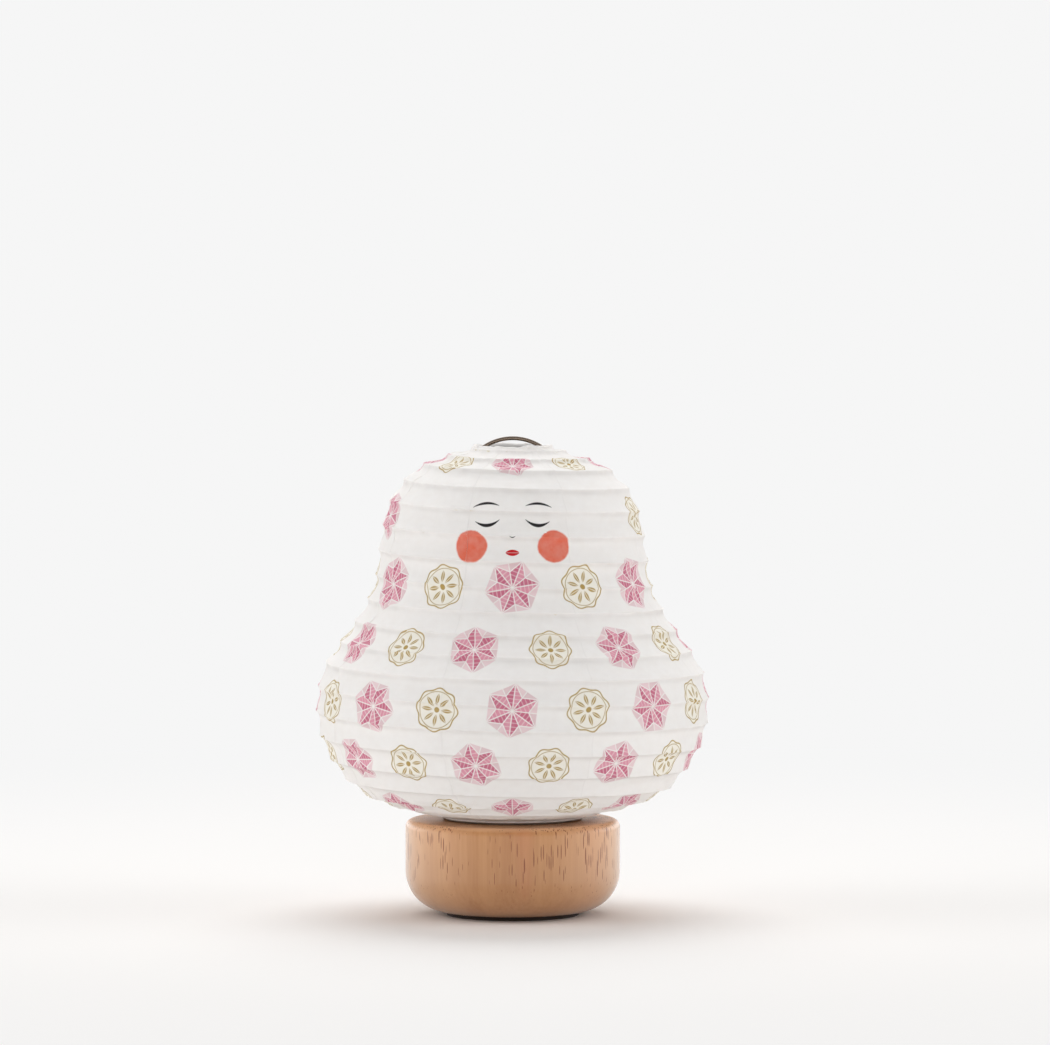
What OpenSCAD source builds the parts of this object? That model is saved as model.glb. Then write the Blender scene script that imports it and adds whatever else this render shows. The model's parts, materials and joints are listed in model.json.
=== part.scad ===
// Paper lantern on a turned wooden base, lit from inside by a small battery lamp.
// Lengths are in millimetres and angles in degrees. The origin is the bottom centre on the table,
// +Z is up and the front looks to -Y. Azimuths start at the front and grow towards +X.

/* [Wooden base] */
// Diameter of the turned base
base_d = 110; // [108:1:130]
// Height of the turned wood
wood_h = 47; // [42:1:60]
// Height of the large round at the foot of the wood
foot_round = 21; // [15:0.5:25]
// Radius of the round at the top edge of the wood
top_round = 4; // [1:0.5:5]
// Diameter of the wire passage through the wood
passage_d = 8; // [7:0.5:12]
// Thickness of the felt ring under the wood
felt_t = 2; // [1:0.5:3]
// Width of the felt ring, from the battery case's pocket to the edge of the foot
felt_w = 2.7; // [2:0.1:5]

/* [Paper shade] */
// Largest diameter of the paper shade
shade_d = 201; // [180:1:220]
// Height of the shade from the hem to the top edge
shade_h = 190.4; // [170:0.2:220]
// Outer diameter of the paper at the top mouth
mouth_d = 41; // [38:0.5:44]
// Outer diameter of the paper hem at the bottom
hem_d = 73.2; // [70:0.2:80]
// Height of the upright hem band
hem_h = 2.4; // [2:0.2:4]
// Thickness of the layered paper
paper_t = 0.4; // [0.3:0.05:0.6]
// How far the paper draws in between two turns of the rib
paper_sag = 1; // [0.4:0.1:1.6]

/* [Shade frame] */
// Number of turns of the spiral rib
rib_turns = 20; // [16:1:24]
// Diameter of the spiral rib
rib_d = 1.2; // [1:0.1:1.4]
// Diameter of the wire in the top ring
top_wire_d = 1.4; // [1:0.1:1.8]
// Diameter of the wire in the bottom ring
bottom_wire_d = 1.8; // [1.2:0.1:2.2]

/* [Wire bow] */
// Diameter of the bow wire
bow_wire_d = 2; // [1.6:0.1:2.4]
// Distance between the two legs of the bow, centre to centre
bow_span = 53; // [50:0.5:56]
// Depth to which each leg stands in the wood
bow_depth = 14; // [8:1:20]

/* [Lamp holder] */
// Height of the holder above the wood
holder_h = 8; // [6:0.5:12]
// Thickness of the holder's floor
holder_floor = 2; // [1.6:0.2:3]
// Thickness of the holder's rim
holder_wall = 1.6; // [1.2:0.1:2.4]
// Outer diameter of the frosted dome
dome_d = 42; // [38:0.5:43]
// Height of the dome's upright part
dome_side = 10; // [8:0.5:20]
// Wall of the dome
dome_wall = 1.2; // [0.8:0.1:1.6]
// Diameter of the light board
board_d = 37; // [34:0.5:38]
// Thickness of the light board
board_t = 1.6; // [1:0.2:2]

/* [Battery case] */
// Diameter of a cell
cell_d = 10.3; // [9.8:0.1:10.5]
// Length of a cell with its contact nub
cell_l = 44.5; // [43.5:0.1:45]
// Length of a contact spring in place
spring_l = 5.2; // [4.4:0.1:5.6]
// Wall of the battery case
case_wall = 1.4; // [1:0.1:1.6]
// Thickness of the case's ceiling
case_ceiling = 2.4; // [2:0.1:3]
// Thickness of the battery door
door_t = 1.8; // [1.4:0.1:2.2]
// Height of the space for the leads above the case
lead_space = 2.8; // [2.4:0.2:4]
// Diameter of a lead
lead_d = 1.4; // [1:0.1:1.8]
// Travel of the switch knob
switch_travel = 4; // [3:0.5:5]

/* [Hidden] */
$fn = 96;

// Clearances: between pieces that part or move, between fixed pieces that seat, and round a pin
clear = 0.3;
seat = 0.1;
pin_clear = 0.05;
cut = 1;

// Heights of the base
wood_z0 = felt_t;
wood_z1 = felt_t + wood_h;
base_r = base_d / 2;

// Battery bay: three cells side by side along X, the outer two turned alike
cells = 3;
cell_r = cell_d / 2;
cell_gap = 0.6;
cell_pitch = cell_d + cell_gap;
nub_l = 0.9;
nub_r = 1.8;
plate_t = 0.4;
bay_x = (cell_l + spring_l) / 2 + plate_t + 2 * seat;
plate_x = bay_x - seat - plate_t / 2;
bay_y = cell_pitch + cell_r + clear;
cell_end_x = bay_x - plate_t - 2 * seat - nub_l;
bay_r = norm([cell_end_x, cell_pitch + cell_r]) + clear;
case_r = bay_r + case_wall;
pocket_r = case_r + clear;
felt_r = pocket_r + clear + felt_w;
felt_inset = 0.2;
foot_r = felt_r + felt_inset;
case_z0 = wood_z0 + clear;
recess_z1 = case_z0 + door_t + clear;
cell_z = recess_z1 + seat + cell_r;
bay_z1 = cell_z + cell_r + clear;
case_z1 = bay_z1 + case_ceiling;
pocket_z1 = case_z1 + lead_space + seat;
case_screw_x = 12;
case_screw_y = cell_pitch / 2;
function cell_y(i) = (i - 2) * cell_pitch;
function cell_way(i) = i == 2 ? -1 : 1;

// Battery door: its outline stays inside the felt ring, also when it hangs open, and its edge beside
// the hinge keeps clear of the recess all through the swing
door_lip = 0.8;
door_x = bay_x + door_lip;
door_y = bay_y + door_lip;
door_trim = 1.8;
door_r = bay_r - door_trim;
hinge_r = 1.6;
hinge_pin_r = 0.9;
hinge_half = 12;
hinge_pin_l = 2.2;
hinge_y = door_y + hinge_r + clear;
hinge_z = case_z0 + hinge_r;
door_near_y = hinge_y - norm([hinge_r + clear, hinge_r]);
latch_w = 8;
latch_l = 1.6;
latch_step = 0.6;

// Slide switch beside the door, past the latch and a thin wall
switch_size = [12, 6, 5];
knob_size = [5, 5, 1.8];
stem_w = 3;
finger_room = 2;
knob_side = 1;
switch_wall = 0.7;
switch_y = -(door_y + latch_l + clear + switch_wall + knob_side + knob_size[1] / 2);
knob_drop = 0.6;
knob_groove = 0.6;
knob_z0 = case_z0 + knob_drop;
web_z0 = knob_z0 + knob_size[2] + clear;
web_t = 1.5;
switch_z0 = web_z0 + web_t + seat;
stem_top = switch_z0 + 1.6;

// Shade: hem and mouth heights, the two rings, and the bow that the top ring rests on
hem_gap = 0.6;
hem_z0 = wood_z1 + hem_gap;
hem_z1 = hem_z0 + hem_h;
mouth_z = hem_z0 + shade_h;
mouth_r = mouth_d / 2;
hem_r = hem_d / 2;
top_wire_r = top_wire_d / 2;
bottom_wire_r = bottom_wire_d / 2;
ring_out = 0.2;
ring_drop = 0.6;
top_ring_r = mouth_r - paper_t + ring_out - top_wire_r;
top_ring_z = mouth_z - paper_t - ring_drop - top_wire_r;
bottom_ring_r = hem_r - paper_t - clear - bottom_wire_r;
bottom_ring_z = wood_z1 + clear + bottom_wire_r;
bow_r = bow_wire_d / 2;
bow_arc = bow_span / 2;
bow_reach = bow_arc + bow_r + clear + top_wire_r;
bow_z = top_ring_z - sqrt(bow_reach * bow_reach - top_ring_r * top_ring_r);

// Lamp holder and what stands on it
holder_r = bottom_ring_r - bottom_wire_r - clear;
holder_z0 = wood_z1 + seat;
floor_z = holder_z0 + holder_floor;
bow_boss_r = 3.5;
bow_boss_h = 10;
post_ring_r = 13;
post_r = 2.5;
post_h = 3;
board_z = floor_z + post_h + seat;
dome_r = dome_d / 2;
dome_seat_h = 3;
dome_seat_t = 1.2;
dome_seat_r = dome_r + clear + dome_seat_t;
screw_ring_r = (dome_seat_r + holder_r - holder_wall) / 2;
dome_z0 = floor_z + seat;
dome_z1 = dome_z0 + dome_side;
led_size = [3.5, 3.5, 1];
led_ring_r = 9;
lead_x = 1.6;
lead_r = lead_d / 2;
lead_bend = 2.4;
lead_z = case_z1 + lead_space / 2;
switch_pin = 2;

// Stations down the shade from the mouth to the hem: share of the largest radius, share of the height
shade_shape = [[0.31, 0.983], [0.468, 0.951], [0.572, 0.902], [0.631, 0.853], [0.666, 0.788],
    [0.687, 0.706], [0.704, 0.641], [0.751, 0.575], [0.828, 0.509], [0.91, 0.448], [0.97, 0.395],
    [1, 0.322], [0.998, 0.25], [0.962, 0.185], [0.89, 0.12], [0.77, 0.058], [0.58, 0.011]];
stations = concat([[mouth_r, mouth_z]],
    [for (p = shade_shape) [p[0] * shade_d / 2, hem_z1 + p[1] * (mouth_z - hem_z1)]],
    [[hem_r, hem_z1]]);

// A smooth curve through the stations, and its length at every point
curve_steps = 8;
function blend_at(a, b, c, d, t) =
    (2 * b + (c - a) * t + (2 * a - 5 * b + 4 * c - d) * t * t + (3 * b - a - 3 * c + d) * t * t * t) / 2;
last = len(stations) - 1;
curve = concat([for (i = [0:last - 1], s = [0:curve_steps - 1])
    blend_at(stations[max(i - 1, 0)], stations[i], stations[i + 1], stations[min(i + 2, last)],
        s / curve_steps)], [stations[last]]);
steps = [for (i = [1:len(curve) - 1]) norm(curve[i] - curve[i - 1])];
along = [for (i = 0, s = 0; i <= len(steps); s = s + (i < len(steps) ? steps[i] : 0), i = i + 1) s];
r_along = [for (i = [0:len(curve) - 1]) [along[i], curve[i][0]]];
z_along = [for (i = [0:len(curve) - 1]) [along[i], curve[i][1]]];
paper_length = along[len(along) - 1];

// Radius and height of the paper at share u of its length, and its direction outwards there.
// At the very end the paper turns down into the hem, so that corner is mitred.
near_share = 0.004;
function paper_at(u) = [lookup(u * paper_length, r_along), lookup(u * paper_length, z_along)];
function heading(u) = paper_at(min(u + near_share, 1)) - paper_at(max(u - near_share, 0));
function outward(u) = u >= 1 ? [1, -1] : let (d = heading(u)) [-d[1], d[0]] / norm(d);
function placed(p, azimuth) = [p[0] * sin(azimuth), -p[0] * cos(azimuth), p[1]];

// The rib winds down from just under the top ring to just above the hem. A seam of the paper lies
// every 45 degrees, and the rib starts at the first one. f is the share of a turn from that seam.
panels = 8;
seam_angle = -67.5;
rib_lead = 0.1;
rib_rings = 24;
rib_sides = 6;
rib_r = rib_d / 2;
rib_face = 360 / rib_sides;
rib_gap = 0.2;
strips = rib_turns + 1;
whole = rib_turns + 2 * rib_lead;
function ridge(k, f) = k < 1 ? 0 : k > rib_turns ? 1 : (k - 1 + f + rib_lead) / whole;

// One point of the paper: rows run from ridge to ridge, three to a strip, and sag between them
rows_per_strip = 3;
rows = strips * rows_per_strip;
function paper_point(row, f, depth) =
    let (k = floor(row / rows_per_strip), x = row / rows_per_strip - k,
        u0 = ridge(k, f), u1 = ridge(k + 1, f), u = u0 + (u1 - u0) * x,
        sag = paper_sag * 4 * x * (1 - x) * min((u1 - u0) * whole, 1))
    paper_at(u) - outward(u) * (sag + depth);
function paper_row(row, f, depth) =
    placed(row > rows ? [hem_r - depth, hem_z0] : paper_point(row, f, depth), seam_angle + 360 * f);

// Rings of points along the rib, each in the upright plane through the lantern's axis
function rib_centre(n) =
    let (u = (n / rib_rings + rib_lead) / whole)
    paper_at(u) - outward(u) * (paper_t + rib_gap + rib_r);
function rib_ring(n) =
    let (c = rib_centre(n), o = outward((n / rib_rings + rib_lead) / whole), face = atan2(o[1], o[0]))
    [for (j = [0.5:rib_sides - 0.5])
        placed(c + rib_r * [cos(face + rib_face * j), sin(face + rib_face * j)],
            seam_angle + 360 * n / rib_rings)];
rib_points = [for (n = [0:rib_turns * rib_rings]) rib_ring(n)];
rib_least_gap = min([for (n = [0:(rib_turns - 1) * rib_rings]) for (p = rib_points[n])
    min([for (q = rib_points[n + rib_rings]) norm(p - q)])]);
echo(rib_least_gap_mm = rib_least_gap);

// A tube along a list of rings of points, closed at both ends
module tube(rings) {
    sides = len(rings[0]);
    count = len(rings);
    end = (count - 1) * sides;
    caps = [for (j = [1:sides - 2], face = [[0, j + 1, j], [end, end + j, end + j + 1]]) face];
    walls = [for (i = [0:count - 2], j = [0:sides - 1])
        let (a = i * sides + j, b = i * sides + (j + 1) % sides, c = b + sides, d = a + sides)
        each [[a, b, c], [a, c, d]]];
    polyhedron(points = [for (ring = rings) each ring], faces = concat(walls, caps));
}

// A wire ring that lies level
module wire_ring(r, z, wire) {
    translate([0, 0, z])
        rotate_extrude()
            translate([r, 0])
                circle(r = wire);
}

// A round bar from one height to another
module bar(r, z0, z1) {
    translate([0, 0, z0])
        cylinder(r = r, h = z1 - z0);
}

// Three places round the axis, the first at the given angle
module three_round(at, first) {
    for (i = [0:2])
        rotate([0, 0, first + 120 * i])
            translate([at, 0, 0])
                children();
}

// Outline of the turned wood, from the axis outwards
module wood_outline() {
    translate([0, wood_z0])
        square([foot_r, wood_h]);
    translate([0, wood_z0 + foot_round])
        square([base_r, wood_h - foot_round - top_round]);
    translate([0, wood_z1 - top_round])
        square([base_r - top_round, top_round]);
    translate([base_r - top_round, wood_z1 - top_round])
        circle(r = top_round);
    translate([foot_r, wood_z0 + foot_round])
        scale([base_r - foot_r, foot_round])
            circle(r = 1);
}

// Turned base with the pocket for the battery case, the wire passage, two holes for the bow's legs
// and the pilot holes for the wood screws
module wooden_base() {
    color("burlywood")
        difference() {
            rotate_extrude()
                wood_outline();
            bar(pocket_r, wood_z0 - cut, pocket_z1);
            bar(passage_d / 2, pocket_z1 - cut, wood_z1 + cut);
            bow_legs(bow_r + pin_clear, wood_z1 - bow_depth - clear, wood_z1 + cut);
            three_round(screw_ring_r, 90)
                bar(screw_r + pin_clear, wood_z1 - holder_screw_l + holder_floor, wood_z1 + cut);
            case_screw_places()
                bar(screw_r + pin_clear, pocket_z1 - cut, bay_z1 + case_screw_l + clear);
        }
}

// Felt ring stuck under the wood, outside the battery case
module felt_ring() {
    color("saddlebrown")
        difference() {
            bar(felt_r, 0, felt_t);
            bar(pocket_r + clear, -cut, felt_t + cut);
        }
}

// Wood screws: a pan head on the holder's floor, a countersunk one in the case's ceiling
screw_r = 1.4;
screw_head_r = 2.7;
screw_head_h = 1.6;
holder_screw_l = 12;
case_screw_l = 12;
case_boss_r = 3.2;
module case_screw_places() {
    for (side = [-1, 1])
        translate([side * case_screw_x, side * case_screw_y, 0])
            children();
}

// The door's outline in plan, grown by a margin, up to its edge on the hinge's side. Its round ends
// grow by twice the margin, because they swing towards the narrower part of the recess.
module door_plan(margin, near_y, h) {
    intersection() {
        cylinder(r = door_r + 2 * margin, h = h);
        translate([-door_x - margin, -door_y - margin, 0])
            cube([2 * (door_x + margin), near_y + door_y + margin, h]);
    }
}

// A bar along X round the hinge's axis
module hinge_bar(r, half) {
    translate([-half, hinge_y, hinge_z])
        rotate([0, 90, 0])
            cylinder(r = r, h = 2 * half);
}

// Round tub that hangs in the wood's pocket, with the bay for the cells, the recess for the door,
// the hinge's pocket and pin holes, the latch's notch and the place for the switch
module battery_case() {
    color("dimgray")
        difference() {
            union() {
                bar(case_r, case_z0, case_z1);
                case_screw_places()
                    bar(case_boss_r, case_z1 - cut, pocket_z1 - seat);
            }
            intersection() {
                bar(bay_r, recess_z1 - cut, bay_z1);
                translate([-bay_x, -bay_y, recess_z1 - cut])
                    cube([2 * bay_x, 2 * bay_y, bay_z1 - recess_z1 + cut]);
            }
            translate([0, 0, case_z0 - cut])
                door_plan(clear, door_y + clear, recess_z1 - case_z0 + cut);
            hinge_bar(hinge_r + clear, hinge_half + clear);
            translate([-hinge_half - clear, hinge_y - hinge_r - clear, case_z0 - cut])
                cube([2 * (hinge_half + clear), 2 * (hinge_r + clear), hinge_z - case_z0 + cut]);
            hinge_bar(hinge_pin_r + pin_clear, hinge_half + hinge_pin_l + clear);
            translate([-latch_w / 2 - clear, -door_y - latch_l - clear, case_z0 - cut])
                cube([latch_w + 2 * clear, latch_l + clear + cut, recess_z1 - case_z0 + cut]);
            switch_recess();
            case_screw_places() {
                bar(screw_r + pin_clear, bay_z1 - cut, pocket_z1 + cut);
                translate([0, 0, bay_z1 - seat])
                    cylinder(r1 = screw_head_r + 2 * seat, r2 = screw_r + seat, h = screw_head_h + seat);
            }
            for (way = [-1, 1], y = cell_y(way > 0 ? 1 : 3))
                translate([way * plate_x - plate_t, y - tab_w / 2 - clear, bay_z1 - cut])
                    cube([2 * plate_t, tab_w + 2 * clear, case_ceiling + 2 * cut]);
        }
}

// Finger recess, slot for the knob's stem, and the pocket that the switch drops into from above
module switch_recess() {
    travel = switch_travel + 2 * clear;
    recess = [knob_size[0] + travel + 2 * finger_room, knob_size[1] + 2 * knob_side,
        web_z0 - case_z0 + cut];
    translate([0, switch_y, 0]) {
        translate([-recess[0] / 2, -recess[1] / 2, case_z0 - cut])
            cube(recess);
        translate([-(stem_w + travel) / 2, -stem_w / 2 - clear, web_z0 - cut])
            cube([stem_w + travel, stem_w + 2 * clear, web_t + 2 * cut]);
        translate([-switch_size[0] / 2 - clear, -switch_size[1] / 2 - clear, web_z0 + web_t])
            cube([switch_size[0] + 2 * clear, switch_size[1] + 2 * clear, case_z1]);
    }
}

// Two countersunk screws through the case's ceiling into the wood
module battery_case_screws() {
    color("silver")
        case_screw_places() {
            bar(screw_r, bay_z1 + screw_head_h - cut, bay_z1 + case_screw_l);
            translate([0, 0, bay_z1])
                cylinder(r1 = screw_head_r, r2 = screw_r, h = screw_head_h);
        }
}

// Door with its hinge barrel, two stub pins and the latch tongue
module battery_door() {
    color("gray") {
        translate([0, 0, case_z0])
            door_plan(0, door_near_y, door_t);
        translate([-hinge_half, door_near_y - cut, case_z0])
            cube([2 * hinge_half, hinge_y - door_near_y + cut, door_t]);
        hinge_bar(hinge_r, hinge_half);
        hinge_bar(hinge_pin_r, hinge_half + hinge_pin_l);
        translate([-latch_w / 2, -door_y - latch_l, case_z0 + latch_step])
            cube([latch_w, latch_l + cut, door_t - latch_step]);
    }
}

// One cell: the can, and the nub at the end that looks to the given side
module battery_cell(i) {
    can = cell_l - nub_l;
    translate([0, cell_y(i), cell_z])
        rotate([0, 90 * cell_way(i), 0])
            translate([0, 0, cell_end_x - can]) {
                color("slategray")
                    cylinder(r = cell_r, h = can);
                color("silver")
                    cylinder(r = nub_r, h = can + nub_l);
            }
}

// Conical springs behind the flat ends of the cells
spring_turns = 4;
spring_wire_r = 0.3;
spring_rings = 8;
spring_wide = 3.4;
spring_narrow = 2.2;
spring_gap = 0.15;
spring_sides = 6;
function spring_ring(n) =
    let (u = n / (spring_turns * spring_rings), a = 360 * n / spring_rings,
        r = spring_wide + (spring_narrow - spring_wide) * u,
        z = spring_wire_r + spring_gap + u * (spring_l - 2 * spring_wire_r - 2 * spring_gap))
    [for (j = [0:spring_sides - 1])
        let (b = 360 * j / spring_sides, p = [r, z] + spring_wire_r * [cos(b), sin(b)])
        [p[0] * cos(a), p[0] * sin(a), p[1]]];
module contact_springs() {
    color("silver")
        for (i = [1:cells])
            translate([0, cell_y(i), cell_z])
                rotate([0, -90 * cell_way(i), 0])
                    translate([0, 0, bay_x - plate_t - seat])
                        mirror([0, 0, 1])
                            tube([for (n = [0:spring_turns * spring_rings]) spring_ring(n)]);
}

// Contact plates: one at each end of the row with a solder tab through the ceiling, and two that
// each join a pair of cells
plate_half = 3.2;
tab_w = 2;
tab_rise = 0.6;
module contact_plate(way, from, to, tab) {
    x = way * plate_x - plate_t / 2;
    translate([x, cell_y(from) - plate_half, cell_z - plate_half])
        cube([plate_t, cell_y(to) - cell_y(from) + 2 * plate_half, 2 * plate_half]);
    if (tab)
        translate([x, cell_y(from) - tab_w / 2, cell_z])
            cube([plate_t, tab_w, case_z1 + tab_rise - cell_z]);
}
module contact_plates() {
    color("gainsboro") {
        contact_plate(1, 1, 1, true);
        contact_plate(-1, 1, 2, false);
        contact_plate(1, 2, 3, false);
        contact_plate(-1, 3, 3, true);
    }
}

// Slide switch: the body with its slot below, and the knob that slides along X
module switch_body() {
    slot = [stem_w + switch_travel + 2 * clear, stem_w + 2 * clear, stem_top + clear - switch_z0 + cut];
    color("silver")
        translate([0, switch_y, switch_z0])
            difference() {
                translate([-switch_size[0] / 2, -switch_size[1] / 2, 0])
                    cube(switch_size);
                translate([-slot[0] / 2, -slot[1] / 2, -cut])
                    cube(slot);
            }
}
module switch_knob() {
    grooves = 3;
    groove_pitch = knob_size[0] / (grooves + 1);
    color("black")
        translate([-switch_travel / 2, switch_y, 0]) {
            difference() {
                translate([-knob_size[0] / 2, -knob_size[1] / 2, knob_z0])
                    cube(knob_size);
                for (i = [1:grooves])
                    translate([i * groove_pitch - knob_size[0] / 2 - knob_groove / 2, -knob_size[1],
                        knob_z0 - cut])
                        cube([knob_groove, 2 * knob_size[1], cut + knob_groove]);
            }
            translate([-stem_w / 2, -stem_w / 2, knob_z0 + knob_size[2] / 2])
                cube([stem_w, stem_w, stem_top - knob_z0 - knob_size[2] / 2]);
        }
}

// Both legs of the bow as bars
module bow_legs(r, z0, z1) {
    for (side = [-1, 1])
        translate([side * bow_arc, 0, 0])
            bar(r, z0, z1);
}

// Holder: a shallow cup that centres the bottom ring, with sockets for the bow, posts for the light
// board and a seat for the dome
module lamp_holder() {
    color("whitesmoke")
        difference() {
            union() {
                difference() {
                    bar(holder_r, holder_z0, holder_z0 + holder_h);
                    bar(holder_r - holder_wall, floor_z, holder_z0 + holder_h + cut);
                }
                difference() {
                    bar(dome_seat_r, floor_z - cut, floor_z + dome_seat_h);
                    bar(dome_r + clear, floor_z, floor_z + dome_seat_h + cut);
                }
                bow_legs(bow_boss_r, floor_z - cut, floor_z + bow_boss_h);
                three_round(post_ring_r, 30)
                    bar(post_r, floor_z - cut, floor_z + post_h);
            }
            bar(passage_d / 2, holder_z0 - cut, floor_z + cut);
            bow_legs(bow_r + pin_clear, holder_z0 - cut, floor_z + bow_boss_h + cut);
            three_round(screw_ring_r, 90)
                bar(screw_r + pin_clear, holder_z0 - cut, floor_z + cut);
            three_round(post_ring_r, 30)
                bar(board_screw_r + pin_clear, floor_z + board_screw_up - clear, floor_z + post_h + cut);
        }
}

// Three pan-head screws that hold the holder down on the wood
module holder_screws() {
    color("silver")
        three_round(screw_ring_r, 90) {
            bar(screw_r, floor_z - holder_screw_l + seat, floor_z + screw_head_h / 2);
            bar(screw_head_r, floor_z + seat, floor_z + screw_head_h);
        }
}

// Light board on its posts, its screws and its light sources
board_screw_r = 0.9;
board_screw_head_r = 1.7;
board_screw_head_h = 1;
board_screw_up = 0.8;
module led_board() {
    color("white")
        difference() {
            bar(board_d / 2, board_z, board_z + board_t);
            three_round(post_ring_r, 30)
                bar(board_screw_r + pin_clear, board_z - cut, board_z + board_t + cut);
        }
}
module board_screws() {
    color("silver")
        three_round(post_ring_r, 30) {
            bar(board_screw_r, floor_z + board_screw_up, board_z + board_t + board_screw_head_h / 2);
            bar(board_screw_head_r, board_z + board_t + seat, board_z + board_t + board_screw_head_h);
        }
}
module leds() {
    leds_round = 6;
    angle = 360 / leds_round;
    places = concat([[0, 0]], [for (i = [0:leds_round - 1]) led_ring_r * [cos(angle * i), sin(angle * i)]]);
    color("khaki")
        for (p = places)
            translate([p[0] - led_size[0] / 2, p[1] - led_size[1] / 2, board_z + board_t])
                cube(led_size);
}

// Frosted dome: upright side and a round top, open below
module frosted_dome() {
    color("white", 0.6)
        difference() {
            dome_form(dome_r, dome_z0);
            dome_form(dome_r - dome_wall, dome_z0 - cut);
        }
}
module dome_form(r, z0) {
    bar(r, z0, dome_z1);
    intersection() {
        translate([0, 0, dome_z1])
            sphere(r = r);
        bar(r + cut, dome_z1 - cut, dome_z1 + r + cut);
    }
}

// Bow: one wire that rises from its two sockets and arches over; the top ring rests on its shoulders
module wire_bow() {
    color("silver") {
        bow_legs(bow_r, wood_z1 - bow_depth, bow_z);
        translate([0, 0, bow_z])
            rotate([90, 0, 0])
                rotate_extrude(angle = 180)
                    translate([bow_arc, 0])
                        circle(r = bow_r);
    }
}

// The leads lie level over the case and bend up beside the axis, or down to the switch. The level
// run lies along +X, and the upright one stands at the origin.
module level_run(from, to) {
    translate([from, 0, lead_z])
        rotate([0, 90, 0])
            cylinder(r = lead_r, h = to - from);
}
module elbow(rises) {
    translate([lead_bend, 0, lead_z + (rises ? lead_bend : -lead_bend)])
        rotate([90, 0, 0])
            rotate_extrude(angle = 90, start = rises ? 180 : 90)
                translate([lead_bend, 0])
                    circle(r = lead_r);
}
module drop_to_switch() {
    elbow(false);
    bar(lead_r, switch_z0 + switch_size[2] + seat, lead_z - lead_bend);
}
module rise_to_board() {
    elbow(true);
    bar(lead_r, lead_z + lead_bend, board_z - seat);
}
module lead_negative() {
    color("black")
        rotate([0, 0, atan2(cell_y(3), -plate_x)]) {
            translate([lead_x, 0, 0])
                rise_to_board();
            level_run(lead_x + lead_bend, norm([plate_x, cell_y(3)]) - tab_w / 2);
        }
}
module lead_positive() {
    switch_at = -switch_y - switch_pin;
    color("firebrick")
        rotate([0, 0, -90]) {
            translate([lead_x, 0, 0])
                rise_to_board();
            level_run(lead_x + lead_bend, switch_at - lead_bend);
            translate([switch_at, 0, 0])
                mirror([1, 0, 0])
                    drop_to_switch();
        }
}
module switch_lead() {
    switch_at = [2 * switch_pin, switch_y];
    run = [plate_x - tab_w / 2, cell_y(1)] - switch_at;
    color("firebrick")
        translate([switch_at[0], switch_at[1], 0])
            rotate([0, 0, atan2(run[1], run[0])]) {
                drop_to_switch();
                level_run(lead_bend, norm(run));
            }
}

// The two wire rings of the shade and its spiral rib
module top_ring() {
    color("silver")
        wire_ring(top_ring_r, top_ring_z, top_wire_r);
}
module bottom_ring() {
    color("silver")
        wire_ring(bottom_ring_r, bottom_ring_z, bottom_wire_r);
}
module spiral_rib() {
    color("wheat")
        tube(rib_points);
}

// One gore of the paper: an outer and an inner skin over the same grid, closed along its four edges
panel_columns = 3;
module paper_panel(i) {
    shares = [for (c = [0:panel_columns]) (i - 1 + c / panel_columns) / panels];
    wide = panel_columns + 1;
    high = rows + 2;
    skin = wide * high;
    points = [for (depth = [0, paper_t], row = [0:rows + 1], f = shares) paper_row(row, f, depth)];
    faces = [for (r = [0:high - 2], c = [0:panel_columns - 1])
        let (a = r * wide + c, b = a + 1, d = a + wide, e = d + 1)
        each [[a, e, b], [a, d, e], [skin + a, skin + b, skin + e], [skin + a, skin + e, skin + d]]];
    sides = [for (r = [0:high - 2])
        let (a = r * wide, d = a + wide, b = a + panel_columns, e = b + wide)
        each [[a, skin + a, skin + d], [a, skin + d, d], [b, e, skin + e], [b, skin + e, skin + b]]];
    ends = [for (c = [0:panel_columns - 1])
        let (a = c, b = c + 1, d = (high - 1) * wide + c, e = d + 1)
        each [[a, b, skin + b], [a, skin + b, skin + a], [d, skin + e, e], [d, skin + d, skin + e]]];
    color("ivory")
        polyhedron(points = points, faces = concat(faces, sides, ends));
}

wooden_base();
felt_ring();
battery_case();
battery_case_screws();
battery_door();
battery_cell(1);  // battery_cell_1
battery_cell(2);  // battery_cell_2
battery_cell(3);  // battery_cell_3
contact_springs();
contact_plates();
switch_body();
switch_knob();
lamp_holder();
holder_screws();
led_board();
board_screws();
leds();
frosted_dome();
wire_bow();
lead_positive();
lead_negative();
switch_lead();
top_ring();
bottom_ring();
spiral_rib();
paper_panel(1);  // paper_panel_1
paper_panel(2);  // paper_panel_2
paper_panel(3);  // paper_panel_3
paper_panel(4);  // paper_panel_4
paper_panel(5);  // paper_panel_5
paper_panel(6);  // paper_panel_6
paper_panel(7);  // paper_panel_7
paper_panel(8);  // paper_panel_8
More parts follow.
